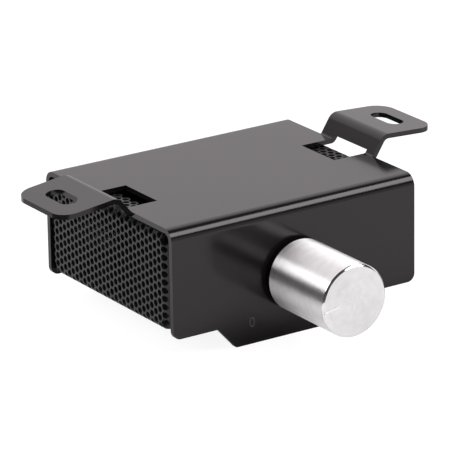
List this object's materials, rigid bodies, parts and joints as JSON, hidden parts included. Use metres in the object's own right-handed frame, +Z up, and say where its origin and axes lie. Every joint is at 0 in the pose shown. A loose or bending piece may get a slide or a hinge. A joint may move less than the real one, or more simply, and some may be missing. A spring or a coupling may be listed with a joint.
{
  "type": "wired amplifier level control",
  "caption": "Low sheet-metal box with two slotted mounting ears, a perforated tray below, a turned metal knob on the front and a cable socket at the rear.",
  "frame": {"origin": "middle of the whole object's length and width, on the surface that the two lower tabs stand on", "axes": "+X to the right seen from the front, along both ears; +Y from the knob back to the cable socket; +Z up"},
  "size_m": [0.105, 0.0804, 0.0368],
  "materials": {
    "black_paint": "satin black paint on folded sheet steel",
    "mesh_paint": "satin black paint on perforated sheet steel",
    "black_screw": "black zinc plate",
    "turned_aluminium": "fine turned, clear anodised",
    "black_moulding": "moulded, dull",
    "shaft_metal": "turned, bare",
    "spring_steel": "bare",
    "bush_metal": "nickel plated",
    "plated_steel": "tin or nickel plated",
    "pale_moulding": "moulded, natural colour",
    "spring_brass": "bare",
    "track_board": "paper laminate with a printed carbon track",
    "board_black": "black solder mask on glass laminate",
    "gold_wire": "gold flashed",
    "sleeve_blue": "printed sleeve, no print",
    "resistor_coat": "lacquered, with colour bands"
  },
  "bodies": {
    "housing": {"cover": "black_paint", "mesh_tray": "mesh_paint", "tray_screws": "black_screw", "pot_bushing": "bush_metal", "pot_washer": "plated_steel", "pot_nut": "bush_metal", "pot_case": "black_moulding", "pot_track": "track_board", "pot_bracket": "plated_steel", "pot_pins": "plated_steel", "circuit_board": "board_black", "jack_housing": "black_moulding", "jack_contacts": "gold_wire", "capacitor": "sleeve_blue", "resistors": "resistor_coat"},
    "knob": {"knob_shell": "turned_aluminium", "knob_core": "black_moulding", "pot_shaft": "shaft_metal", "pot_clip": "spring_steel", "pot_rotor": "pale_moulding", "pot_wiper": "spring_brass"}
  },
  "joints": [
    {"name": "knob_turn", "type": "hinge", "parent": "housing", "child": "knob", "pos_m": [0, -0.01665, 0.0149], "axis": [0, 1, 0], "range_deg": [-52, 248]}
  ]
}
